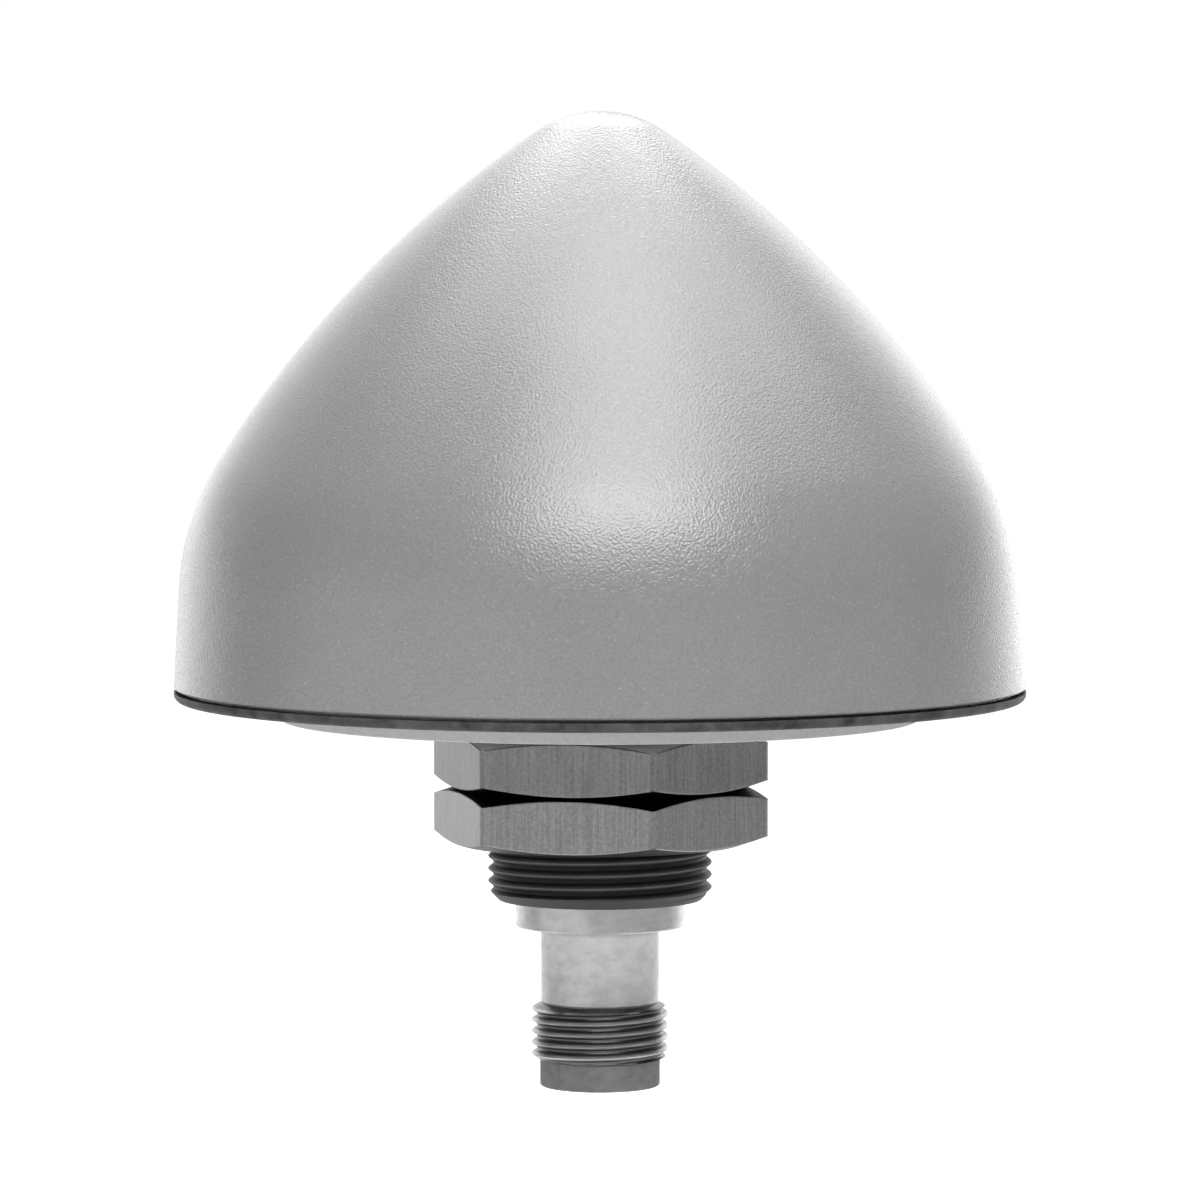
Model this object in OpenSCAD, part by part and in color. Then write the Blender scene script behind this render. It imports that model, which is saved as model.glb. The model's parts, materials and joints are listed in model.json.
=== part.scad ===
// GNSS antenna for single-hole mounting: a pointed radome on a flat base, a hollow M18 x 1 stud
// with two thin nuts, and a TNC jack at the stud's lower end. Millimetres, +Z up.
// The origin lies on the stud's axis, in the plane where the base's gasket seals on a panel.

/* [Radome] */
// Outer diameter at the lower edge
dome_d = 68.2; // [64:0.2:72]
// Height from the lower edge to the tip
dome_h = 46; // [44:0.5:52]
// Wall thickness
dome_wall = 2.2; // [1.8:0.1:3]
// Height of the skirt below the shoulder
skirt_h = 8; // [6:0.5:10]
// Lean of the skirt from upright, in degrees
skirt_draft = 3; // [1:0.5:5]
// Lean of the wall where the shoulder meets the flank, in degrees
shoulder_angle = 32; // [30:1:34]
// Lean of the wall where the flank meets the nose, in degrees
nose_angle = 56; // [54:1:58]
// Radius of the rounded nose
nose_r = 9; // [7:0.5:10]
// Height of the shadow line between the radome and the base
edge_gap = 0.25; // [0.15:0.05:0.5]
// Depth of the shadow line behind the outer face
edge_gap_depth = 0.8; // [0.4:0.1:1]
// Diameter of the screw bosses
boss_d = 6; // [5:0.5:7]
// Distance of the screw bosses from the axis
boss_r = 22.5; // [21:0.1:22.8]

/* [Base] */
// Height of the base's visible rim
rim_h = 0.75; // [0.6:0.05:1.5]
// Radius of the rim's lower edge
rim_round = 0.6; // [0.3:0.05:0.6]
// Thickness of the base's floor
floor_t = 4; // [3.5:0.1:5]
// Height of the spigot that centres the radome
spigot_h = 5.1; // [4:0.1:6]
// Thickness of the spigot behind its seal groove
spigot_back = 1.4; // [1:0.1:2]
// Radial clearance between the spigot and the radome
spigot_clearance = 0.15; // [0.05:0.05:0.3]
// Height of the board's posts above the floor
post_h = 8; // [7:0.5:10]
// Diameter of the board's posts
post_d = 4.4; // [4:0.2:5]

/* [Seals] */
// Cord diameter of the radome's seal
seal_cord = 1.8; // [1.4:0.1:2]
// Squeeze of the radome's seal
seal_squeeze = 0.3; // [0.2:0.05:0.4]
// Cord diameter of the jack's seal
jack_seal_cord = 1.2; // [1:0.1:1.5]
// Squeeze of the jack's seal
jack_seal_squeeze = 0.2; // [0.1:0.05:0.3]
// Room on each side of a seal in its groove
seal_room = 0.25; // [0.1:0.05:0.4]

/* [Gasket] */
// Outer diameter of the gasket under the base
gasket_d = 51; // [50.4:0.2:54]
// Thickness of the gasket
gasket_t = 2.05; // [1.5:0.05:3]
// Depth of the recess that holds the gasket
gasket_recess = 0.5; // [0.3:0.05:0.8]
// Radial clearance of the gasket in its recess
gasket_clearance = 0.1; // [0.05:0.05:0.3]
// Radial room between the nuts' corners and the gasket
nut_room = 1.1; // [0.5:0.1:2]

/* [Stud and nuts] */
// Thread diameter of the stud
stud_d = 18; // [16:0.5:19]
// Length of the stud below the seat
stud_len = 14.55; // [13:0.05:20]
// Chamfer at the stud's lower end
stud_chamfer = 1; // [0.5:0.1:1.5]
// Bore for the coax lead through the stud
stud_bore_d = 8; // [6:0.5:10]
// Width across the flats of the stud's captive flange
flange_af = 22; // [21.5:0.5:23]
// Thickness of the captive flange
flange_t = 2.5; // [2:0.1:3]
// Thickness of the base below the captive flange
flange_floor = 2.5; // [2:0.1:3]
// Thickness of the base's lip over the captive flange
lip_t = 1.5; // [1:0.1:2]
// Wall of the base around the captive flange's corners
flange_wall = 2.2; // [1.5:0.1:2.4]
// Width across the flats of the nuts
nut_af = 24; // [22:0.5:25]
// Thickness of each nut
nut_t = 4.5; // [3.5:0.1:5]
// Diameter of the flat ring on each face of a nut
nut_face_d = 23; // [21:0.1:23.4]
// Slope of the chamfer on a nut's corners, in degrees
nut_chamfer_angle = 19; // [15:1:30]
// Countersink at each end of a nut's thread
nut_countersink = 0.4; // [0.2:0.1:0.8]
// Distance from the seat to the upper nut
nut_gap = 1; // [0.5:0.1:3]
// Turn of both nuts about the axis, in degrees
nut_turn = -12.3; // [-30:0.1:30]

/* [Jack] */
// Diameter of the collar under the stud
collar_d = 13.6; // [13:0.1:15]
// Height of the collar
collar_h = 2.15; // [1.5:0.05:3]
// Diameter of the shank that is screwed into the stud
shank_d = 12; // [11:0.1:12.5]
// Length of the shank
shank_len = 10; // [8:0.5:12]
// Diameter of the neck between the collar and the coupling thread
neck_d = 9.5; // [9:0.1:10]
// Length of the neck
neck_len = 6.05; // [5:0.05:9]
// Major diameter of the 7/16-28 coupling thread
coupling_d = 11.11; // [10.8:0.01:11.2]
// Length of the coupling thread
coupling_len = 4.7; // [4:0.1:6]
// Diameter of the plain mouth below the thread
mouth_d = 9.65; // [9.5:0.05:10]
// Length of the plain mouth
mouth_len = 2.15; // [1.5:0.05:3]
// Chamfer inside the mouth
mouth_chamfer = 0.3; // [0.1:0.05:0.5]
// Bore of the socket
socket_d = 8.1; // [7.8:0.05:8.4]
// Depth of the socket
socket_depth = 8.4; // [8:0.1:9.5]
// Diameter of the insulator's free nose
insulator_nose_d = 4.8; // [4.4:0.1:5.2]
// Distance of the insulator's nose from the mouth
insulator_recess = 3.3; // [2.5:0.1:4]
// Diameter of the insulator inside the jack
insulator_d = 6; // [5.5:0.1:6.4]
// Outer diameter of the centre contact
contact_d = 2.1; // [1.8:0.05:2.4]
// Bore of the centre contact
contact_bore_d = 1.35; // [1.2:0.05:1.5]
// Depth of the centre contact's bore
contact_bore_depth = 5; // [4:0.1:6]
// Distance of the contact from the insulator's nose
contact_recess = 0.4; // [0.2:0.1:0.8]
// Width of the slots that part the contact's four tines
contact_slot = 0.3; // [0.2:0.05:0.4]

/* [Coax lead] */
// Outer diameter of the semi-rigid lead
coax_d = 2.2; // [1.8:0.1:2.6]
// Wall of the lead's copper shield
coax_wall = 0.26; // [0.2:0.02:0.35]
// Diameter of the lead's core
coax_core_d = 0.51; // [0.4:0.02:0.6]
// Length of the lead's shield inside the jack
coax_seat = 4; // [3:0.5:5]
// Length of the lead's core inside the centre contact
core_seat = 3; // [2:0.5:4]
// Thickness of the insulator behind the centre contact
contact_back = 2; // [1:0.5:3]

/* [Board and patch] */
// Thickness of the circuit board
board_t = 1.6; // [1:0.1:2]
// Room around the radome's bosses in the board's notches
board_room = 0.7; // [0.4:0.1:1]
// Room between the board's screws and the patch and shield can beside them
screw_room = 1.1; // [0.6:0.1:2]
// Distance from the board's screws to the board's edge
board_margin = 6.6; // [4:0.1:8]
// Width of the square ceramic patch
patch_w = 25; // [22:0.5:27]
// Thickness of the ceramic patch
patch_t = 4; // [3:0.5:6]
// Margin of bare ceramic around the electrode
patch_margin = 2; // [1:0.5:4]
// Thickness of the fired silver electrode
electrode_t = 0.1; // [0.05:0.05:0.2]
// Thickness of the adhesive pad under the patch
pad_t = 0.4; // [0.2:0.1:0.8]
// Diameter of the patch's feed pin
pin_d = 0.8; // [0.6:0.1:1]
// Diameter of the feed pin's head
pin_head_d = 1.6; // [1.4:0.1:2.2]
// Height of the feed pin's head
pin_head_h = 0.3; // [0.2:0.1:0.5]
// Offset of the feed pin from the axis
pin_offset = 3; // [2.8:0.1:3.4]
// Length of the feed pin below the board
pin_tail = 0.8; // [0.5:0.1:1]
// Width of the square shield can under the board
can_w = 24; // [22:0.5:24.5]
// Height of the shield can
can_h = 3; // [2.6:0.1:3.5]
// Sheet thickness of the shield can
can_t = 0.3; // [0.2:0.05:0.4]
// Diameter of the shield can's vent holes
can_hole_d = 1.5; // [1:0.1:2]

/* [Amplifier parts] */
// Width of the square filters
filter_w = 3; // [2:0.1:4]
// Height of the filters and the voltage regulator
filter_h = 1.1; // [0.8:0.1:1.4]
// Width of the square amplifier chips
amplifier_w = 2; // [1.5:0.1:2.5]
// Height of the amplifier chips
amplifier_h = 0.75; // [0.5:0.05:1]
// Width of the voltage regulator
regulator_w = 2.9; // [2:0.1:3.5]
// Depth of the voltage regulator
regulator_depth = 1.6; // [1.2:0.1:2]
// Width of the chip capacitors, which are half as deep and high
capacitor_w = 1; // [0.6:0.1:1.6]
// Width of the chip inductors, which are half as deep and high
inductor_w = 1.6; // [1:0.1:2]

/* [Screws] */
// Thread diameter of the screws that hold the radome
radome_screw_d = 2.5; // [2:0.1:3]
// Length of the radome's screws under the head
radome_screw_len = 9; // [7:0.5:12]
// Head diameter of the radome's screws
radome_head_d = 4.5; // [4:0.1:4.8]
// Head height of the radome's screws
radome_head_h = 1.7; // [1.4:0.1:1.9]
// Thread diameter of the board's screws
board_screw_d = 2; // [1.6:0.1:2.2]
// Length of the board's screws under the head
board_screw_len = 6; // [5:0.5:7]
// Head diameter of the board's screws
board_head_d = 3.6; // [3.2:0.1:4]
// Head height of the board's screws
board_head_h = 1.4; // [1:0.1:1.6]
// Clearance around a screw's thread in a plain hole
hole_clearance = 0.15; // [0.1:0.05:0.3]
// Clearance around and over a screw's head
head_clearance = 0.15; // [0.1:0.05:0.2]
// Width of the cross recess in a screw's head
recess_w = 0.6; // [0.4:0.05:0.8]

/* [Fits] */
// Radial gap between a thread's crest and its nut or hole, both drawn as plain cylinders
thread_gap = 0.05; // [0.02:0.01:0.1]
// Radial gap between pieces that are pressed or soldered together
fit_gap = 0.02; // [0.01:0.01:0.05]

/* [Hidden] */
$fn = 96;

// Overshoot of a cut past the face that it opens
cut = 1;
// Angle between neighbouring points on a profile's arcs
arc_step = 2;
// Number of equal places around the axis for screws, posts and vent holes
places = 4;
// Turn of the radome's screws, which stand between the board's screws and the patch's corners
radome_screw_turn = 360 / places / 4;

// Heights that stack up from the seat
base_z = gasket_t - gasket_recess;
rim_z = base_z + rim_h;
edge_z = rim_z + edge_gap;
floor_z = base_z + floor_t;
spigot_z = rim_z + spigot_h;
land_z = spigot_z + 2 * seal_room;
seal_z = rim_z + spigot_h / 2;
flange_z = base_z + flange_floor;
lip_z = flange_z + flange_t + lip_t;
board_z = floor_z + post_h;
board_top_z = board_z + board_t;
patch_z = board_top_z + pad_t;
electrode_z = patch_z + patch_t;

// Radii of the joint between the radome and the base
edge_r = dome_d / 2;
land_r = edge_r - dome_wall;
spigot_r = land_r - spigot_clearance;
seal_in_r = land_r - seal_cord + seal_squeeze;
spigot_in_r = seal_in_r - spigot_back;

// Radii around the stud
stud_r = stud_d / 2;
nut_corner_r = nut_af / 2 / cos(30);
gasket_in_r = nut_corner_r + nut_room;
flange_corner_r = flange_af / 2 / cos(30);
flange_boss_r = flange_corner_r + flange_wall;
lip_r = (stud_r + flange_af / 2) / 2;

// Heights that stack down from the stud's end
collar_z = -stud_len - collar_h;
neck_z = collar_z - neck_len;
coupling_z = neck_z - coupling_len;
tip_z = coupling_z - mouth_len;
shank_z = -stud_len + shank_len;
socket_z = tip_z + socket_depth;
insulator_nose_z = tip_z + insulator_recess;
insulator_back_z = shank_z - coax_seat;
contact_front_z = insulator_nose_z + contact_recess;
contact_back_z = insulator_back_z - contact_back;
jack_seal_z = -stud_len + jack_seal_cord + 2 * seal_room;
jack_seal_in_r = shank_d / 2 + thread_gap - jack_seal_cord + jack_seal_squeeze;

// Sizes that follow from the pieces around them
board_screw_r = max(patch_w + board_head_d, can_w + post_d) / 2 + screw_room;
board_d = 2 * (board_screw_r + board_margin);
radome_head_z = gasket_t + radome_head_h + head_clearance;
coax_dielectric_d = coax_d - 2 * coax_wall;

// The radome's outer profile is a leaning skirt and three arcs, each tangent to the last.
// The shoulder's and the flank's radii follow from the height, the diameter and the three leans.
function heading(lean) = [cos(lean), sin(lean)];
shoulder_turn = heading(skirt_draft) - heading(shoulder_angle);
flank_turn = heading(shoulder_angle) - heading(nose_angle);
skirt_end = [edge_r - skirt_h * tan(skirt_draft), edge_z + skirt_h];
nose_centre = [0, edge_z + dome_h - nose_r];
arcs_span = skirt_end - nose_centre - nose_r * heading(nose_angle);
arcs_cross = cross(shoulder_turn, flank_turn);
shoulder_r = cross(arcs_span, flank_turn) / arcs_cross;
flank_r = cross(shoulder_turn, arcs_span) / arcs_cross;
shoulder_centre = skirt_end - shoulder_r * heading(skirt_draft);
flank_centre = shoulder_centre + (shoulder_r - flank_r) * heading(shoulder_angle);

// Points along an arc, from just after its first lean up to its last
function arc_points(centre, radius, from, to) =
    let (count = ceil((to - from) / arc_step))
    [for (i = [1 : count]) centre + radius * heading(from + (to - from) * i / count)];

// The profile at a depth under the outer face, from a height on the skirt up to the axis
function dome_profile(depth, from_z) =
    let (skirt_top = skirt_end - depth * heading(skirt_draft))
    let (nose = arc_points(nose_centre, nose_r - depth, nose_angle, 90))
    concat(
        [[skirt_top.x + (skirt_top.y - from_z) * tan(skirt_draft), from_z], skirt_top],
        arc_points(shoulder_centre, shoulder_r - depth, skirt_draft, shoulder_angle),
        arc_points(flank_centre, flank_r - depth, shoulder_angle, nose_angle),
        [for (i = [0 : len(nose) - 2]) nose[i]],
        [[0, nose_centre.y + nose_r - depth]]);

function reversed(points) = [for (i = [len(points) - 1 : -1 : 0]) points[i]];

module around(radius, turn = 0) {
    for (i = [0 : places - 1])
        rotate(turn + i * 360 / places)
            translate([radius, 0, 0])
                children();
}

module rod(diameter, from, to) {
    translate([0, 0, from])
        cylinder(d = diameter, h = to - from);
}

module tube(outer_d, inner_d, from, to) {
    difference() {
        rod(outer_d, from, to);
        rod(inner_d, from - cut, to + cut);
    }
}

module hex_bar(across_flats, from, to) {
    translate([0, 0, from])
        cylinder(d = across_flats / cos(30), h = to - from, $fn = 6);
}

// A round cord seal, pressed flat on its inner and outer sides by its groove and its wall
module pressed_seal(inner_r, outer_r, cord, z) {
    rotate_extrude()
        intersection() {
            translate([(inner_r + outer_r) / 2, z])
                circle(d = cord);
            translate([inner_r, z - cord])
                square([outer_r - inner_r, 2 * cord]);
        }
}

// A pan-head screw, thread upwards, with its head's seat at z = 0
module pan_screw(thread_d, length, head_d, head_h) {
    difference() {
        union() {
            rod(thread_d, 0, length);
            rod(head_d, -head_h, 0);
        }
        for (turn = [0, 90])
            rotate(turn)
                translate([-head_d / 4, -recess_w / 2, -head_h - cut])
                    cube([head_d / 2, recess_w, cut + head_h / 2]);
    }
}

// A chip on the board's underside
module chip(width, depth, height) {
    translate([-width / 2, -depth / 2, board_z - height])
        cube([width, depth, height]);
}

// Moulded shell with an inner foot that stands on the rim and leaves a shadow line outside it
module radome() color([0.68, 0.68, 0.67]) {
    foot_r = edge_r - edge_gap_depth;
    pilot_d = radome_screw_d + 2 * thread_gap;
    boss_z = floor_z + fit_gap;
    difference() {
        union() {
            rotate_extrude()
                polygon(concat(
                    dome_profile(0, edge_z),
                    reversed(dome_profile(dome_wall, land_z)),
                    [[land_r, land_z], [land_r, rim_z], [foot_r, rim_z], [foot_r, edge_z]]));
            intersection() {
                rotate_extrude()
                    polygon(concat([[0, edge_z]], dome_profile(dome_wall / 2, edge_z)));
                around(boss_r, radome_screw_turn)
                    rod(boss_d, boss_z, boss_z + dome_h);
            }
        }
        around(boss_r, radome_screw_turn)
            rod(pilot_d, boss_z - cut, radome_head_z + radome_screw_len + cut);
    }
}

// Silicone ring between the base's spigot and the radome
module radome_seal() color([0.75, 0.3, 0.2])
    pressed_seal(seal_in_r, land_r, seal_cord, seal_z);

// Moulded base: rim, spigot with a seal groove, posts for the board and a boss over the stud's flange
module base_plate() color([0.25, 0.25, 0.26]) {
    groove_half = seal_cord / 2 + seal_room;
    recess_in_r = gasket_in_r - gasket_clearance;
    recess_out_r = gasket_d / 2 + gasket_clearance;
    round_centre = [edge_r - rim_round, base_z + rim_round];
    screw_hole_d = radome_screw_d + 2 * hole_clearance;
    head_hole_d = radome_head_d + 2 * head_clearance;
    pilot_d = board_screw_d + 2 * thread_gap;
    difference() {
        union() {
            rotate_extrude()
                polygon(concat(
                    [[stud_r, base_z], [recess_in_r, base_z], [recess_in_r, gasket_t], [recess_out_r, gasket_t],
                        [recess_out_r, base_z], [round_centre.x, base_z]],
                    arc_points(round_centre, rim_round, -90, 0),
                    [[edge_r, rim_z], [spigot_r, rim_z], [spigot_r, seal_z - groove_half],
                        [seal_in_r, seal_z - groove_half], [seal_in_r, seal_z + groove_half],
                        [spigot_r, seal_z + groove_half], [spigot_r, spigot_z], [spigot_in_r, spigot_z],
                        [spigot_in_r, floor_z], [flange_boss_r, floor_z], [flange_boss_r, lip_z],
                        [lip_r, lip_z], [lip_r, flange_z], [stud_r, flange_z]]));
            around(board_screw_r)
                rod(post_d, flange_z, board_z);
        }
        hex_bar(flange_af, flange_z, flange_z + flange_t);
        around(board_screw_r)
            rod(pilot_d, board_z - board_screw_len, board_z + cut);
        around(boss_r, radome_screw_turn) {
            rod(screw_hole_d, base_z, floor_z + cut);
            rod(head_hole_d, base_z, radome_head_z);
        }
    }
}

// Closed-cell ring that seals on the panel and covers the radome's screws
module base_gasket() color([0.72, 0.72, 0.72])
    tube(gasket_d, 2 * gasket_in_r, 0, gasket_t);

module radome_screws() color([0.6, 0.6, 0.6])
    around(boss_r, radome_screw_turn)
        translate([0, 0, radome_head_z])
            pan_screw(radome_screw_d, radome_screw_len, radome_head_d, radome_head_h);

// Turned hollow stud with a hexagonal flange that the base is moulded round
module mounting_stud() color([0.3, 0.3, 0.3])
    difference() {
        union() {
            rotate_extrude()
                polygon([[0, -stud_len], [stud_r - stud_chamfer, -stud_len], [stud_r, stud_chamfer - stud_len],
                    [stud_r, flange_z], [0, flange_z]]);
            hex_bar(flange_af, flange_z, flange_z + flange_t);
        }
        rod(shank_d + 2 * thread_gap, -stud_len - cut, shank_z + thread_gap);
        rod(stud_bore_d, shank_z, flange_z + flange_t + cut);
    }

// Thin hexagon nut with both faces chamfered at its corners
module thin_nut(top) {
    drop = (nut_corner_r - nut_face_d / 2) * tan(nut_chamfer_angle);
    bore_r = stud_r + thread_gap;
    mouth_r = bore_r + nut_countersink;
    translate([0, 0, top - nut_t])
        rotate(nut_turn)
            intersection() {
                hex_bar(nut_af, 0, nut_t);
                rotate_extrude()
                    polygon([[mouth_r, 0], [nut_face_d / 2, 0], [nut_corner_r, drop],
                        [nut_corner_r, nut_t - drop], [nut_face_d / 2, nut_t], [mouth_r, nut_t],
                        [bore_r, nut_t - nut_countersink], [bore_r, nut_countersink]]);
            }
}

module upper_nut() color([0.62, 0.62, 0.61])
    thin_nut(-nut_gap);

module lower_nut() color([0.62, 0.62, 0.61])
    thin_nut(-nut_gap - nut_t);

// Turned TNC jack: shank with a seal groove, collar, neck, coupling thread and plain mouth
module connector_body() color([0.68, 0.68, 0.66]) {
    groove_half = jack_seal_cord / 2 + seal_room;
    shank_r = shank_d / 2;
    socket_r = socket_d / 2;
    chamfer = min(mouth_chamfer, (mouth_d - socket_d) / 4);
    insulator_r = insulator_d / 2 + fit_gap;
    lead_r = coax_d / 2 + fit_gap;
    rotate_extrude()
        polygon([[lead_r, shank_z], [lead_r, insulator_back_z], [insulator_r, insulator_back_z],
            [insulator_r, socket_z], [socket_r, socket_z], [socket_r, tip_z + chamfer],
            [socket_r + chamfer, tip_z], [mouth_d / 2, tip_z], [mouth_d / 2, coupling_z],
            [coupling_d / 2, coupling_z], [coupling_d / 2, neck_z], [neck_d / 2, neck_z],
            [neck_d / 2, collar_z], [collar_d / 2, collar_z], [collar_d / 2, -stud_len],
            [shank_r, -stud_len], [shank_r, jack_seal_z - groove_half],
            [jack_seal_in_r, jack_seal_z - groove_half], [jack_seal_in_r, jack_seal_z + groove_half],
            [shank_r, jack_seal_z + groove_half], [shank_r, shank_z]]);
}

module connector_seal() color([0.15, 0.15, 0.15])
    pressed_seal(jack_seal_in_r, shank_d / 2 + thread_gap, jack_seal_cord, jack_seal_z);

// Insulator with a slim nose that the mating plug's outer contact passes over
module connector_insulator() color([0.93, 0.93, 0.9]) {
    contact_r = contact_d / 2 + fit_gap;
    core_r = coax_core_d / 2 + fit_gap;
    rotate_extrude()
        polygon([[contact_r, insulator_nose_z], [insulator_nose_d / 2, insulator_nose_z],
            [insulator_nose_d / 2, socket_z], [insulator_d / 2, socket_z], [insulator_d / 2, insulator_back_z],
            [core_r, insulator_back_z], [core_r, contact_back_z], [contact_r, contact_back_z]]);
}

// Socket contact with four sprung tines in front and a solder cup behind
module connector_contact() color([0.83, 0.68, 0.3])
    difference() {
        rod(contact_d, contact_front_z, contact_back_z);
        rod(contact_bore_d, contact_front_z - cut, contact_front_z + contact_bore_depth);
        rod(coax_core_d + 2 * fit_gap, contact_back_z - core_seat, contact_back_z + cut);
        for (turn = [45, 135])
            rotate(turn)
                translate([-contact_d, -contact_slot / 2, contact_front_z - cut])
                    cube([2 * contact_d, contact_slot, contact_bore_depth]);
    }

module coax_shield() color([0.72, 0.45, 0.2])
    tube(coax_d, coax_dielectric_d, insulator_back_z, board_z);

module coax_dielectric() color([0.95, 0.95, 0.95])
    tube(coax_dielectric_d - 2 * fit_gap, coax_core_d + 2 * fit_gap, insulator_back_z, board_z);

module coax_core() color([0.75, 0.73, 0.65])
    rod(coax_core_d, contact_back_z - core_seat, board_z + board_t / 2);

// Round board that carries the patch on top and the amplifier below, notched for the radome's bosses
module circuit_board() color([0.1, 0.4, 0.2])
    difference() {
        rod(board_d, board_z, board_top_z);
        around(boss_r, radome_screw_turn)
            rod(boss_d + 2 * board_room, board_z - cut, board_top_z + cut);
        around(board_screw_r)
            rod(board_screw_d + 2 * hole_clearance, board_z - cut, board_top_z + cut);
        rod(coax_core_d + 2 * fit_gap, board_z - cut, board_top_z + cut);
        translate([0, pin_offset, 0])
            rod(pin_d + 2 * fit_gap, board_z - cut, board_top_z + cut);
    }

module board_screws() color([0.6, 0.6, 0.6])
    around(board_screw_r)
        translate([0, 0, board_top_z])
            mirror([0, 0, 1])
                pan_screw(board_screw_d, board_screw_len, board_head_d, board_head_h);

// Drawn sheet can over the amplifier, open towards the board
module shield_can() color([0.8, 0.8, 0.78]) {
    inner_w = can_w - 2 * can_t;
    hole_step = can_w / 4;
    difference() {
        translate([-can_w / 2, -can_w / 2, board_z - can_h])
            cube([can_w, can_w, can_h]);
        translate([-inner_w / 2, -inner_w / 2, board_z - can_h + can_t])
            cube([inner_w, inner_w, can_h]);
        rod(coax_d + 2 * hole_clearance, board_z - can_h - cut, board_z);
        for (column = [-1 : 1], row = [-1 : 1])
            if (column != 0 || row != 0)
                translate([column * hole_step, row * hole_step, 0])
                    rod(can_hole_d, board_z - can_h - cut, board_z);
    }
}

// Plate under or over the patch's footprint, with a hole for the feed pin
module patch_layer(width, from, to, hole_d) {
    difference() {
        translate([-width / 2, -width / 2, from])
            cube([width, width, to - from]);
        translate([0, pin_offset, 0])
            rod(hole_d, from - cut, to + cut);
    }
}

module patch_pad() color([0.9, 0.9, 0.85])
    patch_layer(patch_w, board_top_z, patch_z, pin_head_d);

module patch_ceramic() color([0.85, 0.8, 0.72])
    patch_layer(patch_w, patch_z, electrode_z, pin_d + 2 * fit_gap);

module patch_electrode() color([0.8, 0.8, 0.8])
    patch_layer(patch_w - 2 * patch_margin, electrode_z, electrode_z + electrode_t, pin_d + 2 * fit_gap);

// Headed pin from the electrode through the patch to the board's underside
module feed_pin() color([0.83, 0.68, 0.3])
    translate([0, pin_offset, 0]) {
        rod(pin_d, board_z - pin_tail, electrode_z + electrode_t);
        rod(pin_head_d, electrode_z + electrode_t, electrode_z + electrode_t + pin_head_h);
    }

// The amplifier's parts stand in a row of stages from the feed pin to the lead
stage_x = can_w / 4;
stage_y = can_w / 4;

module saw_filters() color([0.75, 0.7, 0.6])
    for (side = [-1, 1])
        translate([side * stage_x, stage_y, 0])
            chip(filter_w, filter_w, filter_h);

module amplifier_chips() color([0.12, 0.12, 0.12])
    for (side = [-1, 1])
        translate([side * stage_x, 0, 0])
            chip(amplifier_w, amplifier_w, amplifier_h);

module voltage_regulator() color([0.12, 0.12, 0.12])
    translate([-stage_x, -stage_y, 0])
        chip(regulator_w, regulator_depth, filter_h);

module chip_capacitors() color([0.7, 0.55, 0.4])
    for (side = [-1, 1], row = [-1, 1])
        translate([side * stage_x / 2, row * stage_y / 2, 0])
            chip(capacitor_w, capacitor_w / 2, capacitor_w / 2);

module chip_inductors() color([0.35, 0.35, 0.4])
    for (row = [-1, 1])
        translate([stage_x, row * stage_y / 4 - stage_y, 0])
            chip(inductor_w, inductor_w / 2, inductor_w / 2);

radome();
radome_seal();
base_plate();
base_gasket();
radome_screws();
mounting_stud();
upper_nut();
lower_nut();
connector_body();
connector_seal();
connector_insulator();
connector_contact();
coax_shield();
coax_dielectric();
coax_core();
circuit_board();
board_screws();
shield_can();
patch_pad();
patch_ceramic();
patch_electrode();
feed_pin();
saw_filters();
amplifier_chips();
voltage_regulator();
chip_capacitors();
chip_inductors();
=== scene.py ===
import json
import math

import bmesh
import bpy
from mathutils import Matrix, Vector


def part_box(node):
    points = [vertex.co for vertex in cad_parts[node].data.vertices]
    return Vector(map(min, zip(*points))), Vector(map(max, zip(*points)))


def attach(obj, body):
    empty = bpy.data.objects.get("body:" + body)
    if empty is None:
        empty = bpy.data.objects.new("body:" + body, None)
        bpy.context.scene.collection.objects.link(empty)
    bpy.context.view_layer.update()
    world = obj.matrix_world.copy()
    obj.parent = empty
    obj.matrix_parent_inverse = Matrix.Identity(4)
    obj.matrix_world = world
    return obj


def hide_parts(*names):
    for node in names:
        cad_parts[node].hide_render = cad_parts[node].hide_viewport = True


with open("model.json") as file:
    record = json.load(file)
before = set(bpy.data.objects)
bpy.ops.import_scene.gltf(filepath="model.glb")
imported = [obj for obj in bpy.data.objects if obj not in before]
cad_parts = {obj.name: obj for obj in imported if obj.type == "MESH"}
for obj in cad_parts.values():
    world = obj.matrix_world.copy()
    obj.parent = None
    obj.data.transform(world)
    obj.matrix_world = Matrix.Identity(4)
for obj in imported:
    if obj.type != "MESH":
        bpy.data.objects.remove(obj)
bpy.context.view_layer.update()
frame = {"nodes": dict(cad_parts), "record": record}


# Mounting stud: a hollow M18 x 1 stud, turned from steel bar and blackened, with a hexagonal flange that the
# base is moulded round. Its thread starts in a chamfer at the lower end and ends inside the base.

MM = 0.001
WELD = 0.001 * MM
SHARP_EDGE = math.radians(30)


def linear(code):
    """An sRGB hex colour as linear red, green, blue and alpha."""
    shares = [int(code[i:i + 2], 16) / 255 for i in (1, 3, 5)]
    return (*[s / 12.92 if s <= 0.04045 else ((s + 0.055) / 1.055) ** 2.4 for s in shares], 1.0)


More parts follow.
